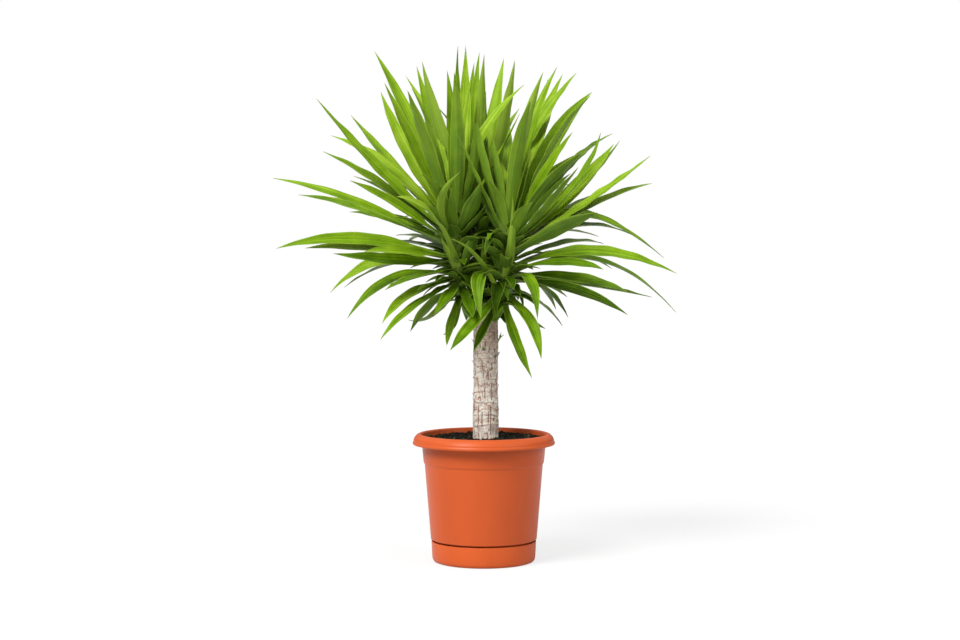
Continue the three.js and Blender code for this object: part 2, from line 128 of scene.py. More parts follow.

# A leaf is (middle x, middle z, tip x, tip z, tip y, width, roll in degrees, tone), and its tone
# goes from 0, a dark green like an old leaf's, to 1, the yellow green of a young one. The tone is
# also painted light and shade: leaves that lie in shadow get darker tones, lit ones lighter ones
LEFT_LEAVES = [
    (-206, 808, -351, 974, -60, 36, 40, 0.65), (-178, 815, -279, 939, 170, 34, 10, 0.6),
    (-187, 818, -321, 896, 60, 34, 30, 0.78), (-206, 785, -338, 863, -10, 32, 30, 0.65),
    (-176, 760, -273, 811, 120, 30, 5, 0.3), (-172, 741, -281, 802, -230, 38, 50, 0.6),
    (-262, 752, -443, 807, -60, 34, 30, 0.62), (-229, 733, -390, 772, 60, 30, 36, 0.45),
    (-172, 714, -283, 736, 130, 30, 36, 0.3), (-256, 677, -437, 659, -100, 34, 50, 0.62),
    (-229, 660, -376, 660, -130, 32, 42, 0.95), (-160, 653, -252, 653, -190, 30, 40, 0.65),
    (-189, 634, -317, 649, -200, 34, 48, 0.3), (-124, 680, -185, 687, 200, 28, 0, 0.3),
    (-145, 670, -220, 672, 160, 28, 0, 0.3), (-202, 636, -324, 565, 40, 30, 55, 0.75),
    (-185, 596, -288, 511, -140, 32, 25, 0.35), (-141, 598, -208, 572, -230, 34, 0, 0.4),
    (-151, 563, -214, 501, -130, 30, 20, 0.72), (-109, 586, -141, 571, -90, 16, 0, 0.75),
    (-147, 536, -218, 467, -170, 26, 10, 0.5), (-111, 540, -155, 484, 60, 28, -20, 0.3),
    (-76, 557, -105, 519, -150, 28, 0, 0.4), (-105, 519, -160, 510, 100, 24, 0, 0.4),
    (-66, 510, -78, 455, -80, 20, 0, 0.5), (-59, 504, -86, 478, -60, 14, 0, 0.75),
    (-34, 550, -23, 515, -110, 28, 0, 0.3), (-109, 716, -183, 768, -230, 34, 45, 1),
    (-92, 750, -50, 819, -140, 18, -25, 1), (-65, 729, -67, 785, -100, 20, 0, 0.5),
    (-29, 733, -7, 797, -90, 36, -10, 0.35), (17, 823, 75, 942, -60, 30, 20, 0.6),
    (-48, 855, -25, 1023, -20, 34, 30, 0.8), (-44, 886, -38, 1084, 60, 32, 20, 0.75),
    (-55, 865, -62, 1029, -120, 32, 0, 0.55), (-62, 865, -77, 1033, 80, 32, 0, 0.5),
    (-97, 865, -141, 1042, 100, 32, 25, 0.6), (-105, 876, -151, 995, -80, 34, 20, 0.7),
    (-117, 862, -160, 991, -150, 32, 0, 0.55), (-147, 907, -229, 1072, 100, 34, 20, 0.65),
    (-145, 865, -208, 1006, -40, 38, 45, 0.7), (-157, 853, -216, 988, 50, 30, 40, 0.8),
    (-21, 823, -19, 926, -60, 28, 0, 0.6), (-29, 701, 6, 752, -40, 30, 0, 0.35),
    (-34, 685, -8, 630, 40, 34, 0, 0.15), (-29, 632, -4, 559, 30, 34, 0, 0.15),
    (-38, 603, -17, 550, -60, 32, 0, 0.2),
]  # fmt: skip
RIGHT_LEAVES = [
    (-21, 502, -71, 445, -150, 32, 15, 0.36), (4, 491, -21, 443, -110, 30, -10, 0.36),
    (-6, 603, -6, 512, -150, 32, 0, 0.4), (92, 596, 113, 509, -170, 30, 0, 0.4),
    (95, 508, 121, 426, -120, 28, 15, 0.46), (65, 466, 102, 386, -110, 28, 0, 0.45),
    (84, 517, 130, 491, -60, 26, 10, 0.35), (-10, 792, -57, 901, -100, 30, 20, 0.5),
    (31, 792, 18, 893, -80, 24, 0, 0.55), (78, 754, 95, 834, -40, 22, 0, 0.35),
    (59, 714, 60, 768, -110, 22, 0, 0.9), (27, 691, 8, 676, -130, 26, -25, 0.35),
    (-12, 632, -68, 680, -150, 26, 20, 0.75), (111, 550, 166, 496, 60, 28, 20, 0.25),
    (120, 578, 178, 513, 80, 26, 0, 0.25), (118, 586, 176, 557, 130, 26, 0, 0.25),
    (185, 573, 304, 519, -60, 32, 40, 0.3), (212, 582, 355, 557, 40, 30, 18, 0.3),
    (191, 596, 302, 569, -130, 32, 35, 0.35), (107, 601, 155, 592, 180, 28, 0, 0.25),
    (166, 628, 252, 615, -170, 32, 30, 0.3), (223, 652, 407, 606, -60, 34, 42, 0.52),
    (235, 634, 405, 524, 60, 30, 20, 0.42), (170, 670, 252, 669, 120, 30, 12, 0.4),
    (181, 731, 380, 638, 90, 32, 35, 0.4), (187, 704, 321, 683, 100, 30, 15, 0.4),
    (155, 697, 239, 735, -220, 36, -35, 0.25), (218, 754, 349, 854, -60, 34, 25, 0.7),
    (223, 746, 353, 796, -100, 32, 24, 0.68), (160, 729, 237, 775, 160, 30, 0, 0.45),
    (176, 767, 273, 879, 120, 38, 35, 0.7), (191, 771, 285, 886, 180, 30, -10, 0.5),
    (183, 779, 245, 903, 60, 30, 0, 0.6), (170, 819, 270, 900, 200, 30, 0, 0.55),
    (128, 781, 207, 862, -120, 32, -30, 0.25), (134, 748, 198, 830, -180, 30, 10, 0.45),
    (128, 760, 182, 817, -60, 28, -10, 0.55), (124, 804, 186, 903, -100, 40, 40, 0.6),
    (134, 865, 227, 987, 120, 38, 40, 0.55), (139, 859, 223, 979, 60, 36, -35, 0.5),
    (111, 876, 153, 985, 180, 30, 0, 0.8), (90, 876, 154, 1040, 30, 32, 20, 0.6),
    (76, 865, 125, 1030, -40, 30, -65, 0.85), (71, 848, 98, 970, -130, 34, 0, 0.65),
    (2, 823, -14, 928, -70, 26, 0, 0.55), (21, 712, -17, 785, -50, 32, 0, 0.4),
    (27, 632, 4, 567, 40, 34, 0, 0.15), (34, 584, 21, 512, -80, 32, 0, 0.15),
    (63, 577, 84, 533, -40, 28, 0, 0.2),
]  # fmt: skip
BACK_LEAVES = [
    (101, 893, 194, 1027, 100, 34, 30, 0.66), (97, 886, 165, 1024, 180, 30, 10, 0.6),
    (84, 865, 135, 1016, 130, 30, 0, 0.5), (27, 844, 62, 982, 100, 28, -25, 0.85),
    (36, 886, 65, 1054, 30, 32, -35, 1), (15, 886, 42, 1058, 150, 36, 0, 0.65),
    (2, 844, 4, 989, 60, 24, -30, 0.65), (-8, 886, 1, 1067, 80, 28, -35, 0.8),
    (-21, 886, -9, 1071, 160, 28, 0, 0.55), (-29, 876, -20, 1049, 200, 28, 0, 0.5),
    (-46, 886, -54, 1084, 130, 28, 60, 0.3), (-46, 865, -101, 958, 120, 28, 0, 0.35),
    (-84, 876, -129, 1051, 20, 36, -35, 0.9), (-78, 865, -164, 1021, 180, 32, 20, 0.9),
    (-2, 771, 8, 892, -10, 34, 0, 0.35), (-25, 729, -29, 834, 0, 34, 0, 0.25),
    (19, 735, 34, 829, 10, 32, 0, 0.2), (-15, 729, -38, 676, 20, 34, 8, 0.1),
    (19, 725, 36, 662, 10, 32, -8, 0.1), (2, 664, 6, 599, -30, 33, 5, 0.1),
]  # fmt: skip
HEADS = {
    "head_left": {
        "shoot": [(-2, -2, 512), (-56, -14, 528), (-54, -18, 610), (-60, -17, 705)],
        "seed": 11,
        "hidden": (13, 7, 6),
        "leaves": LEFT_LEAVES,
    },
    "head_right": {
        "shoot": [(9, -3, 510), (44, -32, 522), (45, -38, 600), (50, -39, 685)],
        "seed": 29,
        "hidden": (12, 7, 6),
        "leaves": RIGHT_LEAVES,
    },
    "head_back": {
        "shoot": [(3, 6, 510), (2, 50, 518), (-6, 56, 600), (-10, 61, 715)],
        "seed": 47,
        "hidden": (15, 6, 4),
        "leaves": BACK_LEAVES,
    },
}

# Leaves with long pale bases, rooted lower than in the solids: by the place of the tip, (share of
# the shoot at the root, middle x, middle z, shape)
SHEATHS = {
    (60, 768): (0.24, 56, 650, SHEATH_BLADE),
    (-68, 680): (0.38, -12, 634, SHORT_BLADE),
    (-183, 768): (0.55, -100, 716, SHORT_BLADE),
}

# Inner leaves too small for the solids: (share of the shoot at the root, then as above). Those with
# tones near 0 are dark leaves set in the heart to paint its deep shade
HEART_LEAVES = {
    "head_left": [
        (0.5, -74, 637, -90, 684, -60, 22, 20, 0.95),
        (0.62, -30, 655, -14, 690, -70, 24, -20, 0.3),
        (0.45, -34, 590, -22, 548, -60, 26, 10, 0.15),
        (0.6, -42, 700, -30, 765, 90, 42, 0, 0.1),
    ],
    "head_right": [
        (0.86, 25, 688, 2, 645, -105, 26, -10, 0.0),
        (0.5, 26, 640, 33, 672, -60, 20, 0, 0.3),
        (0.4, 40, 590, 52, 548, -80, 22, 0, 0.2),
    ],
    "head_back": [
        (0.45, 0, 622, -2, 680, -60, 13, 0, 0.85),
        (0.6, 17, 637, 40, 647, -90, 15, 10, 0.75),
        (0.75, -34, 676, -42, 617, -20, 34, 0, 0.1),
        (0.75, 17, 676, 27, 613, -10, 34, 0, 0.1),
        (0.7, -13, 630, -17, 554, -20, 36, 0, 0.1),
        (0.7, 11, 630, 17, 554, -10, 36, 0, 0.12),
        (0.9, -29, 714, -46, 666, -10, 34, 0, 0.15),
        (0.9, 8, 714, 23, 659, 0, 34, 0, 0.15),
        (0.85, -38, 690, -50, 640, 90, 38, 0, 0.05),
        (0.85, 0, 690, 10, 635, 100, 38, 0, 0.05),
        (0.7, -30, 630, -38, 590, 90, 38, 0, 0.05),
        (0.9, 14, 785, 24, 850, 130, 42, 40, 0.15),
    ],
}

# The rolls of hidden leaves that differ from the solids': by head, kind and place in that kind
HIDDEN_ROLLS = {("head_left", 0, 12): 35}

# Leaves that don't show one by one from the front, and the rule that draws them, as in the
# solids: (spread of the bearings, rise from first to last, least and most reach and width, shape)
SEED_FACTOR = 16807
SEED_RANGE = 2147483647
HIDDEN_ROLL = (-25, 25)
HIDDEN = [
    (54, (-14, 72), (310, 385), (29, 37), LONG_BLADE),
    (180, (28, 82), (150, 260), (22, 29), SHORT_BLADE),
    (180, (-25, 55), (85, 140), (19, 25), SHORT_BLADE),
]

# The short young leaves in the heart of a head: how many, and from the lowest to the highest their
# share of the shoot at the root, their rise and their tone, dark low down as painted shade
YOUNG_LEAVES = 34
YOUNG_ROOTS = (0.3, 0.93)
YOUNG_RISE = (-30, 76)
YOUNG_TONE_AND_SHADE = (0.05, 0.4)
YOUNG_ARCH = 0.35

# How finely a shoot is modelled, and how many ledges shed leaves have left on it
SHOOT_SIDES = 28
SHOOT_RINGS = 150
SHED_LEAVES = 26


def unit(vector):
    return vector / np.linalg.norm(vector)


def between(span, share):
    return span[0] + (span[1] - span[0]) * share


def smooth(x):
    x = np.clip(x, 0, 1)
    return x * x * (3 - 2 * x)


def bump_at(x, width):
    """1 at x = 0, falling smoothly to nothing at a few widths."""
    return np.exp(-((x / width) ** 2))


def curved(points, x):
    """A smooth line through the points, without overshoot."""
    xs, ys = np.array(points, float).T
    slopes = np.diff(ys) / np.diff(xs)
    tangents = np.concatenate([[slopes[0]], (slopes[1:] + slopes[:-1]) / 2, [slopes[-1]]])
    turns = slopes[1:] * slopes[:-1] <= 0
    tangents[1:-1][turns] = 0
    i = np.clip(np.searchsorted(xs, x, side="right") - 1, 0, len(xs) - 2)
    step = xs[i + 1] - xs[i]
    t = (x - xs[i]) / step
    return (
        ys[i] * (1 + 2 * t) * (1 - t) ** 2
        + ys[i + 1] * t * t * (3 - 2 * t)
        + step * (tangents[i] * t * (1 - t) ** 2 - tangents[i + 1] * t * t * (1 - t))
    )


# How many draws a noise has along either side of its lattice
LATTICE = 256


def lattice_noise(x, y, seed, period=LATTICE):
    """Smooth noise from -1 to 1 over a lattice of draws, which repeats in x after a period."""
    draws = np.random.default_rng(seed).uniform(-1, 1, (LATTICE, LATTICE))
    x, y = np.broadcast_arrays(np.asarray(x, float), np.asarray(y, float))
    i, j = np.floor(x).astype(int), np.floor(y).astype(int)
    u, v = smooth(x - i), smooth(y - j)
    left, right, near, far = i % period, (i + 1) % period, j % LATTICE, (j + 1) % LATTICE
    low = draws[left, near] * (1 - u) + draws[right, near] * u
    high = draws[left, far] * (1 - u) + draws[right, far] * u
    return low * (1 - v) + high * v


def all_round(sides):
    """The angles of so many points around a circle."""
    return np.linspace(0, 2 * math.pi, sides, endpoint=False)


def circle(r, z, sides, x=0, y=0):
    """A level ring of points about x, y."""
    angles = all_round(sides)
    return np.stack([x + r * np.cos(angles), y + r * np.sin(angles), np.full(sides, z)], axis=-1)


def skin(rings, first, last):
    """Points and faces of a closed skin over rings of points, with a point at either end."""
    rings = np.array(rings)
    count, sides = rings.shape[:2]
    points = np.concatenate([[first], rings.reshape(-1, 3), [last]])
    at = 1 + np.arange(count * sides).reshape(count, sides)
    after = np.roll(at, -1, axis=1)
    quads = np.stack([at[:-1], after[:-1], after[1:], at[1:]], axis=-1).reshape(-1, 4).tolist()
    end = len(points) - 1
    foot = [(0, b, a) for a, b in zip(at[0].tolist(), after[0].tolist())]
    top = [(end, a, b) for a, b in zip(at[-1].tolist(), after[-1].tolist())]
    return points, quads + foot + top


def over_ends(values):
    """One value for each point of a skin, from one for each point of its rings."""
    return np.concatenate([[values[0].mean()], values.ravel(), [values[-1].mean()]])


def in_scene(name, data):
    """A new object in the scene, of a mesh, a light or a camera."""
    made = bpy.data.objects.new(name, data)
    bpy.context.scene.collection.objects.link(made)
    return made


class Pieces:
    """Skins gathered into one mesh, each point with its named values."""

    def __init__(self, *values):
        self.points, self.faces, self.count = [], [], 0
        self.values = {name: [] for name in values}

    def add(self, made, **values):
        """Adds a skin, with its values as one number or one for each point."""
        points, faces = made
        self.faces += [tuple(i + self.count for i in face) for face in faces]
        self.points.append(points)
        self.count += len(points)
        for name, kept in self.values.items():
            kept.append(np.broadcast_to(values.get(name, 0.0), len(points)))

    def build(self, name, material, node=None):
        """Makes the piece, which rides on the root and stands for the node, if one is named."""
        mesh = bpy.data.meshes.new(name)
        mesh.from_pydata((np.concatenate(self.points) * MM).tolist(), [], self.faces)
        for value, kept in self.values.items():
            attribute = mesh.attributes.new(value, "FLOAT", "POINT")
            attribute.data.foreach_set("value", np.concatenate(kept).astype(np.float32))
        mesh.shade_smooth()
        mesh.materials.append(material)
        made = in_scene(name, mesh)
        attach(made, "root")
        if node:
            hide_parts(node)
        return made


class Nodes:
    """The nodes of a material or a world, made and linked by short calls."""

    def __init__(self, owner):
        owner.use_nodes = True
        self.tree = owner.node_tree

    def put(self, socket, value):
        if isinstance(value, bpy.types.NodeSocket):
            self.tree.links.new(value, socket)
        else:
            socket.default_value = (*value, 1.0) if socket.type == "RGBA" else value

    def fill(self, sockets, *values):
        for socket, value in zip(sockets, values):
            self.put(socket, value)

    def node(self, kind, **values):
        """A new node with these values on its sockets, or linked into them."""
        made = self.tree.nodes.new("ShaderNode" + kind)
        for name, value in values.items():
            self.put(made.inputs[name], value)
        return made

    def place(self, space="Object"):
        return self.node("TexCoord").outputs[space]

    def math(self, operation, a, b=0.0, clamp=False):
        node = self.node("Math")
        node.operation = operation
        node.use_clamp = clamp
        self.fill(node.inputs, a, b)
        return node.outputs[0]

    def times(self, a, b):
        return self.math("MULTIPLY", a, b)

    def span(self, value, low, high, to_low=0.0, to_high=1.0):
        """The value, spread from low and high to two other ends and held between them."""
        node = self.node("MapRange")
        self.fill(node.inputs, value, low, high, to_low, to_high)
        return node.outputs[0]

    def show(self, output, plain, seen, share):
        """Ends the tree in a plain shader, which the camera sees with a share of the other."""
        rays, mix = self.node("LightPath").outputs["Is Camera Ray"], self.node("MixShader")
        self.fill(mix.inputs, self.times(rays, share), plain.outputs[0], seen.outputs[0])
        self.put(self.tree.nodes[output].inputs["Surface"], mix.outputs[0])


class Paint(Nodes):
    """A material, and what its colour, roughness and relief are made of."""

    def __init__(self, name, roughness, specular):
        self.material = bpy.data.materials.new(name)
        super().__init__(self.material)
        self.shader = self.tree.nodes["Principled BSDF"]
        self.rough(roughness)
        self.put(self.shader.inputs["Specular IOR Level"], specular)

    def attribute(self, name):
        node = self.node("Attribute")
        node.attribute_name = name
        return node.outputs["Fac"]

    def noise(self, vector, scale, detail, roughness=0.55):
        node = self.node("TexNoise", Vector=vector, Scale=scale, Detail=detail, Roughness=roughness)
        return node.outputs["Fac"]

    def drawn_noise(self, upright, scale, detail, roughness=0.55):
        """Noise in the piece's own space that is pressed together upright by a factor."""
        pressed = self.node("Mapping", Vector=self.place(), Scale=(1.0, 1.0, upright))
        return self.noise(pressed.outputs[0], scale, detail, roughness)

    def mix(self, share, a, b):
        """A colour between two, each of them a socket or three numbers."""
        node = self.node("Mix")
        node.data_type = "RGBA"
        self.fill([node.inputs[i] for i in (0, 6, 7)], share, a, b)
        return node.outputs[2]

    def layers(self, base, *layers):
        """A colour with others laid over it in turn, each as (share, colour)."""
        for share, colour in layers:
            base = self.mix(share, base, colour)
        return base

    def ramp(self, value, *stops):
        node = self.node("ValToRGB", Fac=value)
        elements = node.color_ramp.elements
        while len(elements) < len(stops):
            elements.new(0.5)
        for element, (position, colour) in zip(elements, stops):
            element.position = position
            element.color = (*colour, 1.0)
        return node.outputs["Color"]

    def colour(self, value):
        self.put(self.shader.inputs["Base Color"], value)

    def rough(self, value):
        self.put(self.shader.inputs["Roughness"], value)

    def relief(self, height, distance, strength):
        bump = self.node("Bump", Height=height, Distance=distance, Strength=strength)
        self.put(self.shader.inputs["Normal"], bump.outputs[0])


# Materials

def leaf_material():
    paint = Paint("leaf_green", 0.45, 0.2)
    paint.put(paint.shader.inputs["Specular Tint"], (0.75, 1.0, 0.25))
    along, across, upper, tone, lot, pale = map(paint.attribute, LEAF_VALUES)
    x, y, z = paint.times(across, 7.0), paint.times(along, 1.1), paint.times(lot, 40.0)
    veins = paint.noise(paint.node("CombineXYZ", X=x, Y=y, Z=z).outputs[0], 1.0, 4.0, 0.75)
    blotches = paint.noise(paint.place(), 22.0, 2.0)
    mixed = paint.math("ADD", tone, paint.span(blotches, 0.3, 0.7, -0.12, 0.12))
    mixed = paint.math("ADD", mixed, paint.span(veins, 0.34, 0.66, -0.26, 0.26), clamp=True)
    # The tone, which also carries painted shade, picks each leaf's green from dark to yellow green
    green = paint.ramp(
        mixed,
        (0.0, (0.016, 0.044, 0.001)),
        (0.35, (0.060, 0.130, 0.002)),
        (0.7, (0.150, 0.265, 0.006)),
        (1.0, (0.245, 0.365, 0.030)),
    )
    under = paint.mix(0.35, green, (0.115, 0.190, 0.035))
    green = paint.layers(
        paint.mix(upper, under, green),
        (paint.span(paint.math("ABSOLUTE", across), 0.84, 1.0, 0.0, 0.6), (0.25, 0.34, 0.04)),
        (pale, (0.30, 0.40, 0.13)),
        (paint.span(along, 0.965, 1.0, 0.0, 0.85), (0.23, 0.21, 0.03)),
    )
    paint.colour(green)
    paint.rough(paint.span(veins, 0.25, 0.75, 0.38, 0.52))
    paint.relief(veins, 0.0005, 0.7)
    return paint.material


def bark_material():
    paint = Paint("cane_bark", 0.85, 0.2)
    fissure, scar, seam_and_shade, flake, knot, crown_shade = map(paint.attribute, BARK_VALUES)
    grain = paint.drawn_noise(0.45, 330.0, 4.0, 0.7)
    cloud = paint.noise(paint.place(), 70.0, 4.0, 0.65)
    specks = paint.drawn_noise(0.7, 260.0, 1.0, 0.5)
    crust = paint.drawn_noise(1.6, 190.0, 2.0, 0.6)
    bark = paint.ramp(
        paint.math("ADD", paint.times(cloud, 0.4), paint.times(grain, 0.6)),
        (0.38, (0.280, 0.188, 0.140)),
        (0.45, (0.425, 0.338, 0.277)),
        (0.52, (0.545, 0.483, 0.414)),
        (0.60, (0.685, 0.663, 0.590)),
    )
    bark = paint.layers(
        bark,
        (paint.span(crust, 0.58, 0.66, 0.0, 0.6), (0.725, 0.705, 0.640)),
        (paint.times(scar, 0.5), (0.725, 0.705, 0.630)),
        (paint.span(specks, 0.6, 0.67, 0.0, 0.8), (0.270, 0.115, 0.068)),
        # A dark brown line under each scar ridge: partly a seam, partly painted shade
        (paint.times(seam_and_shade, 0.85), (0.210, 0.090, 0.055)),
        (paint.times(fissure, 0.95), (0.130, 0.046, 0.024)),
        # Painted shade: the bark is darkened to brown under the crown, most at one bearing
        (paint.times(crown_shade, paint.span(cloud, 0.35, 0.6, 0.2, 0.9)), (0.230, 0.125, 0.080)),
        (paint.times(flake, 0.7), (0.360, 0.240, 0.150)),
        (knot, (0.075, 0.034, 0.018)),
    )
    paint.colour(bark)
    paint.rough(paint.span(grain, 0.3, 0.7, 0.75, 0.95))
    paint.relief(grain, 0.0016, 0.9)
    return paint.material


def soil_material():
    paint = Paint("potting_soil", 0.95, 0.1)
    grains = paint.noise(paint.place(), 420.0, 5.0, 0.7)
    soil = paint.ramp(
        grains,
        (0.35, (0.002, 0.002, 0.001)),
        (0.55, (0.007, 0.006, 0.003)),
        (0.72, (0.026, 0.020, 0.011)),
    )
    paint.colour(paint.mix(paint.attribute("crumb"), soil, (0.060, 0.058, 0.030)))
    paint.relief(grains, 0.002, 0.8)
    return paint.material


# The colour of each plastic, and that of the parts that have faded a little
POT_COLOURS = [(0.43, 0.070, 0.014), (0.40, 0.064, 0.013)]
SAUCER_COLOURS = [(0.44, 0.073, 0.015), (0.41, 0.067, 0.013)]


def plastic_material(name, colour, faded):
    paint = Paint(name, 0.4, 0.16)
    cloud = paint.drawn_noise(0.4, 9.0, 3.0)
    grain = paint.noise(paint.place(), 900.0, 2.0)
    scuffs = paint.drawn_noise(6.0, 60.0, 6.0, 0.7)
    tint = paint.mix(paint.span(cloud, 0.35, 0.65), colour, faded)
    tint = paint.mix(paint.span(scuffs, 0.62, 0.8, 0.0, 0.25), tint, (0.46, 0.14, 0.06))
    paint.colour(tint)
    paint.rough(paint.span(scuffs, 0.3, 0.75, 0.32, 0.44))
    paint.relief(grain, 0.0002, 0.35)
    return paint.material


# Leaves

def place_of(x, z, y):
    """The place at depth y that shows at x, z on the upright plane through the pot's axis."""
    return (np.array([x, 0.0, z]) - EYE) * (1 - y / EYE[1]) + EYE


def shoot_at(points, t):
    a, b, c, d = np.array(points, float)
    s = 1 - t
    return a * s**3 + 3 * b * s * s * t + 3 * c * s * t * t + d * t**3


def root_of(points, rise):
    return shoot_at(points, ROOT_FROM + ROOT_SPAN * (rise + 1))


def seen_path(leaf, points, step):
    middle_x, middle_z, tip_x, tip_z, y = leaf[:5]
    tip_y = y + step * DEPTH_STEP
    tip = place_of(tip_x, tip_z, tip_y)
    heart = shoot_at(points, HEART)
    root = root_of(points, (tip[2] - heart[2]) / np.linalg.norm(tip - heart))
    return root, place_of(middle_x, middle_z, (root[1] + tip_y) / 2), tip


def arched_path(root, bearing, rise, reach, arch):
    """A path that leaves its root towards a bearing, given in degrees as its rise is."""
    turn, slope = math.radians(bearing), math.radians(rise)

    def way(angle, length):
        flat = length * math.cos(angle)
        return root + (flat * math.sin(turn), flat * math.cos(turn), length * math.sin(angle))

    return root, way(slope + arch, ARCH_AT * reach), way(slope, reach)


def hidden_path(leaf, points, step):
    bearing, rise, reach = leaf[:3]
    root = root_of(points, math.sin(math.radians(rise)))
    return arched_path(root, bearing + step * BEARING_STEP, rise, reach, ARCH)


def hidden_leaves(head, kind):
    """The leaves of one kind in HIDDEN, each (bearing, rise, reach, width, roll)."""
    seed, count = head["seed"], head["hidden"][kind]
    spread, rises, reaches, widths = HIDDEN[kind][:4]
    leaves, turn = [], 0
    while len(leaves) < count:
        bearing = (turn * GOLDEN_ANGLE + head["seed"] * 7) % 360 - 180
        draws = []
        for _ in range(3):
            seed = seed * SEED_FACTOR % SEED_RANGE
            draws.append(seed / SEED_RANGE)
        if abs(bearing) <= spread:
            drawn = map(between, (reaches, widths, HIDDEN_ROLL), draws)
            leaves.append((bearing, between(rises, len(leaves) / count), *drawn))
        turn += 1
    return leaves


def grown_path(paths, corners):
    """The first of a leaf's paths whose tip is a corner of the solid, or None if it didn't grow."""
    for path in paths:
        if np.linalg.norm(corners - path[2] * MM, axis=1).min() < SAME_TIP:
            return path
    return None


# Where along a blade its rings are, where across it their points are, and how far each point is
# lifted as the blade folds at its midrib
STATIONS = np.concatenate([np.linspace(0, 0.9, 40), np.linspace(0.915, 0.99, 8)])
SHORT_STATIONS = np.concatenate([np.linspace(0, 0.88, 16), np.linspace(0.91, 0.985, 4)])
ACROSS = np.sin(np.linspace(-math.pi / 2, math.pi / 2, 11))
AT_RIB = math.sqrt(FOLD_SOFTNESS)
FOLD = (np.sqrt(ACROSS**2 + FOLD_SOFTNESS) - AT_RIB) / (math.sqrt(1 + FOLD_SOFTNESS) - AT_RIB)


def blade(path, width, roll, shape, draws):
    """The rings of one leaf, over its upper face from edge to edge and back under it, and how far
    along the leaf each of their points is."""
    root, middle, tip = path
    pull = 2 * middle - (root + tip) / 2
    out = tip - root
    out[2] = 0
    out = unit(out)
    up = UP + out * (-LEAN if tip[2] > root[2] else LEAN)
    side = np.sign(np.dot(np.cross(tip - root, up), (0.0, -1.0, 0.0))) or 1.0
    length = np.linalg.norm(middle - root) + np.linalg.norm(tip - middle)
    phases = draws.uniform(0, 2 * math.pi, 4)
    swing = draws.uniform(*WAVE_SWING)
    wave_length = draws.uniform(*WAVE_LENGTH)
    rings = []
    stations = SHORT_STATIONS if length < SHORT_REACH else STATIONS
    for u in stations:
        centre = root * (1 - u) ** 2 + 2 * pull * u * (1 - u) + tip * u * u
        along = unit((pull - root) * (1 - u) + (tip - pull) * u)
        across = unit(np.cross(along, up))
        upper = np.cross(across, along)
        angle = math.radians(side * curved(shape["roll"], u) * roll)
        upper = upper * math.cos(angle) + across * math.sin(angle)
        across = np.cross(along, upper)
        half = curved(shape["width"], u) * width / 2
        cupped = CHANNEL + BASE_CUP * bump_at(u, BASE_CUP_REACH)
        edge = np.abs(ACROSS) ** 3 * swing * smooth(u / 0.15) * smooth((1 - u) / 0.2)
        turn = 2 * math.pi * u * length / wave_length
        left, right = math.sin(turn + phases[0]), math.sin(1.13 * turn + phases[1])
        wave = edge * np.where(ACROSS < 0, left, right)
        pleats = PLEAT * np.cos(ACROSS * 7 + phases[2]) * smooth(u / 0.1) * smooth((1 - u) / 0.15)
        height = cupped * half * FOLD + wave + pleats
        thick = between(THICKNESS, smooth(u / 0.15)) * (1 - 0.5 * u)
        thickness = EDGE_THICKNESS + thick / 2 * (1 - ACROSS**2)
        spine = centre + np.outer(ACROSS * half, across)
        top = spine + np.outer(height + thickness, upper)
        bottom = spine + np.outer(height - thickness, upper)
        rings.append(np.concatenate([top, bottom[::-1]]))
    return np.array(rings), np.tile(stations, (2 * len(ACROSS), 1)).T


def add_leaf(pieces, path, width, roll, shape, tone, draws):
    rings, along = blade(path, width, roll, shape, draws)
    sheath = shape is SHEATH_BLADE
    # A sheath's paleness is partly its pale base and partly painted highlight
    pale = PALE_SHARE[sheath] * smooth(1 - along / PALE_REACH[sheath])
    across = np.broadcast_to(np.concatenate([ACROSS, ACROSS[::-1]]), along.shape)
    is_upper = np.repeat([1.0, 0.0], len(ACROSS))
    pieces.add(
        skin(rings, rings[0].mean(axis=0), path[2]),
        along=over_ends(along),
        pale=over_ends(pale),
        across=over_ends(across),
        upper=over_ends(np.broadcast_to(is_upper, along.shape)),
        tone=tone,
        lot=draws.random(),
    )


def add_shoot(pieces, points):
    """A green shoot ringed by the bases of the leaves that it has shed."""
    angles = all_round(SHOOT_SIDES)
    rings = []
    for u in np.linspace(0, 0.97, SHOOT_RINGS):
        centre = shoot_at(points, u)
        along = unit(shoot_at(points, min(u + 0.01, 1)) - shoot_at(points, u - 0.01))
        across = unit(np.cross((0.0, 1.0, 0.0), along))
        third = np.cross(along, across)
        place = u * SHED_LEAVES + 0.35 * np.sin(angles + 5 * u)
        ledge = (place % 1) ** 3 * 1.1
        r = SHOOT_R * (1 - SHOOT_TAPER * u) + ledge - 0.6
        spokes = np.outer(np.cos(angles), across) + np.outer(np.sin(angles), third)
        rings.append(centre + spokes * r[:, None])
    made = skin(rings, shoot_at(points, 0), shoot_at(points, 1))
    pieces.add(made, along=0.08, upper=1.0, tone=0.35, lot=0.5)


def add_young_leaves(pieces, points, draws):
    """The short young leaves that fill the heart of a head, too small for the solids."""
    for number in range(YOUNG_LEAVES):
        share = number / (YOUNG_LEAVES - 1)
        rise = between(YOUNG_RISE, share) + draws.uniform(-10, 10)
        reach = draws.uniform(55, 75) + 35 * bump_at(share - 0.5, 0.3)
        root = shoot_at(points, between(YOUNG_ROOTS, share))
        path = arched_path(root, number * GOLDEN_ANGLE, rise, reach, YOUNG_ARCH)
        # Painted shade: the lowest young leaves, deep in the heart, are the darkest
        tone = between(YOUNG_TONE_AND_SHADE, share) + draws.uniform(-0.05, 0.12)
        width, roll = draws.uniform(20, 29), draws.uniform(-25, 25)
        add_leaf(pieces, path, width, roll, SHORT_BLADE, tone, draws)


def add_heart_leaves(pieces, points, leaves, draws):
    """Those inner leaves that show one by one in the photograph."""
    for share, middle_x, middle_z, tip_x, tip_z, y, width, roll, tone in leaves:
        root = shoot_at(points, share)
        path = root, place_of(middle_x, middle_z, (root[1] + y) / 2), place_of(tip_x, tip_z, y)
        add_leaf(pieces, path, width, roll, SHORT_BLADE, tone, draws)


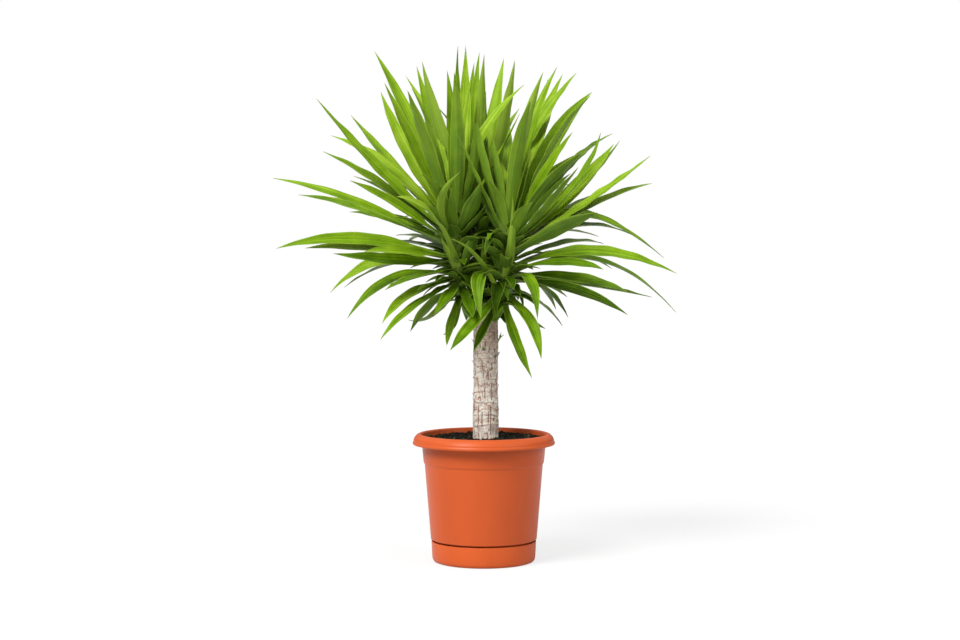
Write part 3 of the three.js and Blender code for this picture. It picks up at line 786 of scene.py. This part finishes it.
def add_seen_leaves(pieces, head, corners, draws):
    """The leaves that are placed by where they show in the photograph."""
    points = head["shoot"]
    for leaf in head["leaves"]:
        path = grown_path((seen_path(leaf, points, step) for step in STEPS), corners)
        if path:
            shape = SHORT_BLADE if np.linalg.norm(path[2] - path[0]) < SHORT_REACH else LONG_BLADE
            if leaf[2:4] in SHEATHS:
                share, middle_x, middle_z, shape = SHEATHS[leaf[2:4]]
                root = shoot_at(points, share)
                path = root, place_of(middle_x, middle_z, (root[1] + path[2][1]) / 2), path[2]
            add_leaf(pieces, path, leaf[5], leaf[6], shape, leaf[7], draws)


def add_hidden_leaves(pieces, name, corners, draws):
    """The leaves that HIDDEN draws for a head, where they grew in its solid."""
    head = HEADS[name]
    for kind in range(len(HIDDEN)):
        for place, leaf in enumerate(hidden_leaves(head, kind)):
            path = grown_path((hidden_path(leaf, head["shoot"], step) for step in STEPS), corners)
            if path:
                rise, width = leaf[1], leaf[3]
                roll = HIDDEN_ROLLS.get((name, kind, place), leaf[4])
                # Painted light and shade: leaves that point low, under the crown, get darker tones,
                # rising ones lighter
                tone = min(0.2 + 0.011 * rise + draws.uniform(-0.1, 0.1), 0.75)
                add_leaf(pieces, path, width, roll, HIDDEN[kind][4], tone, draws)


def make_heads(material):
    for number, (name, head) in enumerate(HEADS.items()):
        pieces = Pieces(*LEAF_VALUES)
        corners = np.array([corner.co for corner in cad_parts[name].data.vertices])
        draws = np.random.default_rng(100 + number)
        add_shoot(pieces, head["shoot"])
        add_seen_leaves(pieces, head, corners, draws)
        add_hidden_leaves(pieces, name, corners, draws)
        add_young_leaves(pieces, head["shoot"], draws)
        add_heart_leaves(pieces, head["shoot"], HEART_LEAVES[name], draws)
        pieces.build(name + "_leaves", material, name)


# Cane

# How finely the cane is modelled, and the heights of its rings in the soil
CANE_SIDES = 200
CANE_RINGS = 400
BURIED_RINGS = [CANE_FOOT, 120, 180, 225, 240]

# The bark's unevenness: (height, cells around the cane, how tall a cell is, seed)
BARK_NOISE = [(0.45, 9, 19, 3), (0.25, 30, 6, 4), (0.12, 120, 2.2, 5)]

# The cut top of the cane, inwards: (share of its radius, rise)
CUT = [(0.97, 1.6), (0.93, 2.6), (0.6, 2.9), (0.3, 3.0)]

# Where the painted shade under the crown starts, over what height it grows, and its bearing: the
# bark turns a darker brown there, most towards that bearing
CROWN_SHADE_FROM = 425
CROWN_SHADE_RISE = 45
CROWN_SHADE_BEARING = 45

# Old fissures in the bark, measured on the side that shows: (bearing from the front in degrees,
# lowest z, highest z)
FISSURES = [
    (-39, 430, 441), (-39, 365, 382), (-37, 281, 333), (-16, 405, 426), (-17, 286, 318),
    (-12, 388, 403), (7, 391, 402), (-4, 346, 372), (12, 384, 408), (13, 296, 318),
    (14, 275, 281), (24, 268, 330), (30, 340, 378), (36, 331, 341), (62, 352, 397),
    (64, 267, 330), (-66, 262, 284), (-35, 262, 276), (-28, 338, 352), (9, 262, 276),
    (28, 403, 420), (-58, 392, 404), (48, 420, 436), (-62, 318, 346), (42, 296, 312),
]  # fmt: skip


def scar_height(number, angle):
    z = SCAR_FIRST + SCAR_PITCH * number + SCAR_WANDER * math.sin(2.4 * number)
    return z + SCAR_WANDER * np.sin(angle + 1.9 * number)


# Fissures that are drawn: (bearings, lowest z and how far above it the first may start, least and
# most length, least and most gap, how far a bearing may stray, how far below the top they stop)
DRAWN_FISSURES = [
    (range(78, 284, 15), (252, 20), (7, 36), (8, 40), 4, 30),
    ((-70, -50, -28, -5, 21, 45, 70), (440, 15), (6, 18), (10, 30), 5, 25),
]

# Round marks of old shoots: (bearing, z, half width, half height, share of the height)
KNOTS = [(-9, 449, 4.2, 3.2, 1.0), (48, 434, 5, 5, 0.8)]


def all_fissures():
    """Those that are measured and those that are drawn, each (bearing, lowest z, highest z)."""
    draws = np.random.default_rng(21)
    fissures = list(FISSURES)
    for bearings, (lowest, spread), lengths, gaps, stray, margin in DRAWN_FISSURES:
        for bearing in bearings:
            low = lowest + draws.uniform(0, spread)
            while low < CANE_TOP - margin:
                high = low + draws.uniform(*lengths)
                fissures.append((bearing + draws.uniform(-stray, stray), low, high))
                low = high + draws.uniform(*gaps)
    return fissures


def turn_from(bearing, angle):
    """How far an angle about Z lies from a bearing from the front, from -pi to pi."""
    return np.mod(angle - math.radians(bearing - 90) + math.pi, 2 * math.pi) - math.pi


def make_cane(material):
    shown = np.linspace(SOIL_LEVEL - 5, CANE_TOP - 3, CANE_RINGS)
    angle, z = np.meshgrid(all_round(CANE_SIDES), np.concatenate([BURIED_RINGS, shown]))
    turns = angle / (2 * math.pi)

    numbers = np.arange(SCARS)
    swell = np.interp(z, SCAR_FIRST + SCAR_PITCH * numbers, np.sin(1.1 * numbers))
    r = CANE_R - 0.8 + 0.6 * swell
    r = r + 0.5 * np.sin(2 * angle + 0.7 * (z - SCAR_FIRST) / SCAR_PITCH)
    r = r + (BURIED_R - r) * smooth((SOIL_LEVEL + 13 - z) / 12)
    r = r - 1.3 * smooth((z - 530) / 18)
    for height, cells, tall, seed in BARK_NOISE:
        r = r + height * lattice_noise(turns * cells, z / tall, seed, cells)

    scar, seam_and_shade = np.zeros_like(z), np.zeros_like(z)
    for number in range(SCARS_BURIED, SCARS):
        coarse = 2.4 * lattice_noise(turns * 11, number * 7.3, 6, 11)
        jag = coarse + 1.2 * lattice_noise(turns * 37, number * 5.1, 7, 37)
        off = z - scar_height(number, angle) - jag
        strength = 0.55 + 0.45 * lattice_noise(turns * 7, number * 3.7, 8, 7)
        ridge = np.where(off < 0, bump_at(off, 2.2), bump_at(off, 3.4))
        r = r + strength * (0.8 * SCAR_RISE * ridge - 0.5 * bump_at(off + 3.2, 0.9))
        scar = np.maximum(scar, strength * bump_at(off - 0.4, 1.8))
        # Painted shade, partly a brown seam: a dark line just under each ridge, where its shadow
        # falls
        seam_and_shade = np.maximum(seam_and_shade, strength * bump_at(off + 3.0, 1.2))
        faint = z - scar_height(number, angle) - SCAR_PITCH * 0.48 - 2.2 * jag
        r = r + 0.35 * strength * bump_at(faint, 1.4)
        seam_and_shade = np.maximum(seam_and_shade, 1.3 * (1 - strength) * bump_at(faint + 1.8, 1.0))

    fissure = np.zeros_like(z)
    for number, (bearing, low, high) in enumerate(all_fissures()):
        drift = 0.9 * lattice_noise(number * 3.3, z / 7, 9)
        within = smooth((z - low) / 2.5) * smooth((high - z) / 2.5)
        off = turn_from(bearing, angle) * CANE_R - drift
        fissure = np.maximum(fissure, within * bump_at(off, 1.15))
    r = r - fissure

    knot = np.zeros_like(z)
    for bearing, middle, wide, high, share in KNOTS:
        off = turn_from(bearing, angle) * CANE_R
        knot = np.maximum(knot, share * bump_at(off, wide) * bump_at(z - middle, high))
    r = r + 1.2 * knot
    # Painted shade under the crown, strongest towards its bearing
    facing = bump_at(turn_from(CROWN_SHADE_BEARING, angle), 0.9)
    crown_shade = smooth((z - CROWN_SHADE_FROM) / CROWN_SHADE_RISE) * (0.25 + 0.6 * facing)

    rings = np.stack([CANE_X + r * np.cos(angle), r * np.sin(angle), z], axis=-1)
    axis, spokes = rings[-1] * [0, 0, 1], rings[-1] - [CANE_X, 0, 0]
    top = [axis + (CANE_X, 0, rise) + spokes * [share, share, 0] for share, rise in CUT]
    rings = np.concatenate([rings, top])
    seam_and_shade = np.minimum(seam_and_shade, 1)
    marks = dict(fissure=fissure, scar=scar, seam_and_shade=seam_and_shade, knot=knot, crown_shade=crown_shade)
    for name, mark in marks.items():
        marks[name] = over_ends(np.vstack([mark] + [mark[-1]] * len(CUT)))
    pieces = Pieces(*BARK_VALUES)
    pieces.add(skin(rings, (CANE_X, 0, CANE_FOOT), (CANE_X, 0, CANE_TOP)), **marks)
    add_flakes(pieces)
    pieces.build("cane_bark", material, "cane")


# Dry remnants of old leaves that stand off the bark: (bearing from the front, z, width, height)
FLAKES = [
    (-88, 464, 7, 8), (-84, 421, 6, 6), (-86, 352, 6, 6), (-80, 325, 6, 5), (84, 435, 10, 10),
    (86, 371, 5, 5), (84, 318, 6, 6), (62, 432, 11, 9), (-25, 409, 7, 4), (12, 317, 8, 4),
]  # fmt: skip
FLAKES_A_SCAR = 5


def add_flakes(pieces):
    """The flakes that are measured, and some more at each scar on the back."""
    draws = np.random.default_rng(33)
    flakes = list(FLAKES)
    for number in range(SCARS_BURIED, SCARS):
        for _ in range(FLAKES_A_SCAR):
            bearing = draws.uniform(95, 265)
            z = scar_height(number, math.radians(bearing - 90))
            flakes.append((bearing, z, draws.uniform(4, 8), draws.uniform(2.5, 6)))
    for bearing, z, width, height in flakes:
        turn = math.radians(bearing - 90)
        out = np.array([math.cos(turn), math.sin(turn), 0.0])
        side = np.array([-math.sin(turn), math.cos(turn), 0.0])
        root = np.array([CANE_X, 0, z - 1.5])
        lift = draws.uniform(0.5, 0.9)
        rings = []
        for u in np.linspace(0, 0.9, 5):
            centre = root + out * (CANE_R - 1.6 + lift * height * u**1.4) + UP * height * u
            half = width / 2 * (1 - u**1.5) * (1 + 0.2 * math.sin(9 * u + bearing))
            edge = out * (1.3 * (1 - 0.7 * u))
            rings.append([centre + side * half, centre + edge, centre - side * half, centre - edge])
        tip = rings[-1][0] * 0.5 + rings[-1][2] * 0.5 + UP * height * 0.1
        pieces.add(skin(rings, np.mean(rings[0], axis=0), tip), flake=1.0)


# Holder

# How finely what is turned is modelled: around, and at each rounded corner
TURNED_SIDES = 256
CORNER_STEPS = 4


def rounded(profile, radius):
    """The profile with each corner cut back and rounded by a short curve."""
    points = np.array(profile, float)
    kept = [points[0]]
    for before, corner, after in zip(points, points[1:], points[2:]):
        back, on = before - corner, after - corner
        reach = min(radius, 0.4 * np.linalg.norm(back), 0.4 * np.linalg.norm(on))
        start, end = corner + unit(back) * reach, corner + unit(on) * reach
        for t in np.linspace(0, 1, CORNER_STEPS):
            kept.append(start * (1 - t) ** 2 + 2 * corner * t * (1 - t) + end * t * t)
    kept.append(points[-1])
    return kept


def turned(profile):
    """A profile of (radius, height) points from axis to axis, turned about the Z axis."""
    first, *ring_points, last = profile
    rings = [circle(r, z, TURNED_SIDES) for r, z in ring_points]
    return skin(rings, (0, 0, first[1]), (0, 0, last[1]))


# The outlines of the pot and the saucer from axis to axis, as in their solids: (radius, height)
POT = [
    (0, 9), (94, 9), (94, 3), (98.5, 3), (104.8, 47.3), (111.8, 47.9), (124.7, 206), (127, 210),
    (129.3, 235), (130.6, 250), (134, 262), (141.5, 261), (147.2, 248), (149.3, 248), (150, 249.5),
    (150, 252.3), (148.3, 255), (148.2, 257.2), (146, 262.6), (141, 268), (136.5, 270), (133, 270),
    (130.6, 267.5), (127.8, 250), (126.5, 235), (124.2, 210.5), (121.9, 206.5), (109, 50.9),
    (101.8, 50.1), (96.6, 12), (0, 12),
]  # fmt: skip
SAUCER = [
    (0, 0), (101, 0), (105.6, 1.6), (108.2, 6), (109, 12), (110.5, 43.8), (107.8, 43.8),
    (106.3, 12.5), (103.6, 5.4), (100.5, 3), (0, 3),
]  # fmt: skip
SOIL_WALL = [
    (96, 12), (101.2, 50.7), (108.5, 51.6), (121.4, 206.8), (123.7, 211), (126, 235), (127.3, 250),
]  # fmt: skip
SOIL_EDGE_R = 128.4
DRAIN_HOLES = 6
DRAIN_R = 5
DRAIN_RING_R = 58
NOTCHES = 3
NOTCH_WIDTH = 14
NOTCH_HEIGHT = 3
FOOT_RING_OUT = 98.5
CUTTER_SIDES = 24
CUTTER_Z = (5, 16)


def drain_cutters():
    """The drain holes through the pot's floor and the notches in its foot ring, as solids."""
    for hole in range(DRAIN_HOLES):
        angle = hole / DRAIN_HOLES * 2 * math.pi
        x, y = DRAIN_RING_R * math.cos(angle), DRAIN_RING_R * math.sin(angle)
        rings = [circle(DRAIN_R, z, CUTTER_SIDES, x, y) for z in CUTTER_Z]
        yield skin(rings, (x, y, CUTTER_Z[0]), (x, y, CUTTER_Z[1]))
    for notch in range(NOTCHES):
        angle = (notch + 0.5) / NOTCHES * 2 * math.pi
        out = np.array([math.cos(angle), math.sin(angle), 0]) * NOTCH_WIDTH / 2
        side = np.array([-math.sin(angle), math.cos(angle), 0]) * NOTCH_WIDTH / 2
        middle = out / np.linalg.norm(out) * FOOT_RING_OUT
        near, far = middle - out, middle + out
        square = [near - side, far - side, far + side, near + side]
        rings = [[corner + (0, 0, z) for corner in square] for z in (0, 2 * NOTCH_HEIGHT)]
        yield skin(rings, middle, middle + (0, 0, 2 * NOTCH_HEIGHT))


def make_pot(material):
    pieces = Pieces()
    pieces.add(turned(rounded(POT, 0.8)))
    pot = pieces.build("pot_shell", material, "pot")
    cutters = Pieces()
    for made in drain_cutters():
        cutters.add(made)
    cutter = cutters.build("cutter", material)
    modifier = pot.modifiers.new("holes", "BOOLEAN")
    modifier.solver = "EXACT"
    modifier.object = cutter
    bpy.context.view_layer.update()
    evaluated = pot.evaluated_get(bpy.context.evaluated_depsgraph_get())
    holed = bpy.data.meshes.new_from_object(evaluated)
    pot.modifiers.clear()
    pot.data = holed
    bpy.data.objects.remove(cutter)
    holed.shade_smooth()
    holed.set_sharp_from_angle(angle=math.radians(40))


def make_saucer(material):
    pieces = Pieces()
    pieces.add(turned(rounded(SAUCER, 1.0)))
    pieces.build("saucer_shell", material, "saucer")


# Soil

# How finely the soil is modelled, the radius of the cane's hole, and the loose crumbs: how many,
# with how many sides, and how far from the axis (least, most)
SOIL_SIDES = 320
SOIL_RINGS = 84
HOLE_R = BURIED_R + 0.8
CRUMBS = 900
CRUMB_SIDES = 7
CRUMB_FROM = (33, 125)


def soil_height(x, y):
    lumps = np.sin(x / 9 + 1.3) * np.sin(y / 11) + 0.7 * np.sin(x / 5 - y / 6)
    fine = 0.9 * lattice_noise(x / 3.1 + 90, y / 3.1 + 90, 51)
    fine = fine + 0.5 * lattice_noise(x / 1.3 + 99, y / 1.3 + 99, 52)
    return SOIL_LEVEL + SOIL_LUMPS * lumps + fine


def add_crumb(pieces, draws):
    nearest, farthest = CRUMB_FROM
    r, turn = math.sqrt(draws.uniform(nearest**2, farthest**2)), draws.uniform(0, 2 * math.pi)
    x, y = r * math.cos(turn) + CANE_X * (1 - r / SOIL_EDGE_R), r * math.sin(turn)
    size = 0.7 + 2.4 * draws.random() ** 3
    lengthwise = draws.uniform(1, 1.9)
    spin = draws.uniform(0, math.pi)
    cos, sin = math.cos(spin), math.sin(spin)
    centre = np.array([x, y, float(soil_height(x, y)) + 0.3 * size])
    angles = all_round(CRUMB_SIDES)
    rings = []
    for lift in (-0.6, 0.1, 0.7):
        radius = size * math.sqrt(1 - lift * lift) * draws.uniform(0.75, 1.15, CRUMB_SIDES)
        a, b = radius * np.cos(angles) * lengthwise, radius * np.sin(angles)
        height = np.full(CRUMB_SIDES, lift * size * 0.8)
        rings.append(centre + np.stack([a * cos - b * sin, a * sin + b * cos, height], axis=-1))
    end = np.array([0, 0, size * 0.8])
    pieces.add(skin(rings, centre - end, centre + end), crumb=draws.random() ** 3)


def make_soil(material):
    rings = [circle(r, z, SOIL_SIDES) for r, z in SOIL_WALL]
    cos, sin = np.cos(all_round(SOIL_SIDES)), np.sin(all_round(SOIL_SIDES))
    for share in np.linspace(0, 1, SOIL_RINGS):
        x = SOIL_EDGE_R * cos * (1 - share) + (CANE_X + HOLE_R * cos) * share
        y = SOIL_EDGE_R * sin * (1 - share) + HOLE_R * sin * share
        sunk = SOIL_EDGE_DROP * (1 - smooth(share / 0.05))
        rings.append(np.stack([x, y, soil_height(x, y) - sunk], axis=-1))
    rings += [circle(HOLE_R, z, SOIL_SIDES, CANE_X) for z in (SOIL_LEVEL - 11, CANE_FOOT)]
    pieces = Pieces("crumb")
    pieces.add(skin(rings, (0, 0, POT_FLOOR_TOP), (CANE_X, 0, CANE_FOOT)))
    draws = np.random.default_rng(61)
    for _ in range(CRUMBS):
        add_crumb(pieces, draws)
    pieces.build("soil_bed", material, "soil")


# The leaves of the sprout on the cane's right side and of the bud in front: (root, middle, tip,
# width)
SPROUT = [
    ((28, -3, 464), (34, -5, 471), (36, -6, 484), 7),
    ((29, -3, 466), (36, -6, 473), (42, -8, 479), 6),
    ((29, 1, 462), (33, 1, 470), (33, 1, 478), 6),
    ((0, -26, 450), (-1, -29, 452), (-2, -30, 456), 3),
    ((2, -26, 450), (1.5, -29, 451), (1, -30.5, 454), 3),
]
SPROUT_TONE = 0.85


def make_sprout(material):
    pieces = Pieces(*LEAF_VALUES)
    draws = np.random.default_rng(71)
    for *points, width in SPROUT:
        add_leaf(pieces, np.array(points, float), width, 0, SHORT_BLADE, SPROUT_TONE, draws)
    pieces.build("cane_sprout", material)


# Stage, light and camera

# Half the floor's side in metres, its grey, and how far it shows white of itself to the camera,
# which lifts the shadow on it
FLOOR_HALF = 40.0
FLOOR_GREY = 0.58
FLOOR_GLOW = 0.75

# The dome's colour, and its strength at the horizon and below it, and overhead
WHITE = (1.0, 1.0, 1.0)
DOME_LOW = 0.08
DOME_HIGH = 1.25

# The suns: (name, the way that their light goes, strength, how wide they are in degrees)
SUNS = [("key", (0.55, 0.66, -0.9), 4.5, 26), ("fill", (-0.75, 0.6, -0.6), 0.8, 40)]


def make_stage():
    mesh = bpy.data.meshes.new("floor")
    corners = [(x * FLOOR_HALF, y * FLOOR_HALF, 0) for x, y in ((-1, -1), (1, -1), (1, 1), (-1, 1))]
    mesh.from_pydata(corners, [], [(0, 1, 2, 3)])
    paint = Paint("floor_white", 0.9, 0.1)
    paint.colour((FLOOR_GREY, FLOOR_GREY, FLOOR_GREY))
    paint.show("Material Output", paint.shader, paint.node("Emission"), FLOOR_GLOW)
    mesh.materials.append(paint.material)
    floor = in_scene("floor", mesh)


def add_sun(name, direction, energy, angle):
    sun = bpy.data.lights.new(name, "SUN")
    sun.energy = energy
    sun.angle = math.radians(angle)
    in_scene(name, sun).rotation_euler = Vector(direction).to_track_quat("-Z", "Y").to_euler()


def make_light():
    """A soft key from the upper left, a weak fill from the right, and a dome brightest overhead."""
    world = bpy.data.worlds.new("studio")
    sky = Nodes(world)
    height = sky.node("SeparateXYZ", Vector=sky.place("Generated")).outputs["Z"]
    strength = sky.span(height, 0.0, 1.0, DOME_LOW, DOME_HIGH)
    dome = sky.node("Background", Color=WHITE, Strength=strength)
    shown = sky.tree.nodes["Background"]
    sky.put(shown.inputs["Color"], WHITE)
    sky.show("World Output", dome, shown, 1.0)
    bpy.context.scene.world = world
    for sun in SUNS:
        add_sun(*sun)


def make_camera():
    camera = bpy.data.cameras.new("camera")
    camera.lens = LENS
    camera.sensor_width = SENSOR
    made = in_scene("camera", camera)
    made.location = EYE * MM
    made.rotation_euler = (math.radians(90 - TILT), 0, 0)
    bpy.context.scene.camera = made


leaf_green = leaf_material()
make_saucer(plastic_material("saucer_plastic", *SAUCER_COLOURS))
make_pot(plastic_material("pot_plastic", *POT_COLOURS))
make_soil(soil_material())
make_cane(bark_material())
make_heads(leaf_green)
make_sprout(leaf_green)
make_stage()
make_light()
make_camera()
bpy.context.scene.view_settings.view_transform = "Standard"
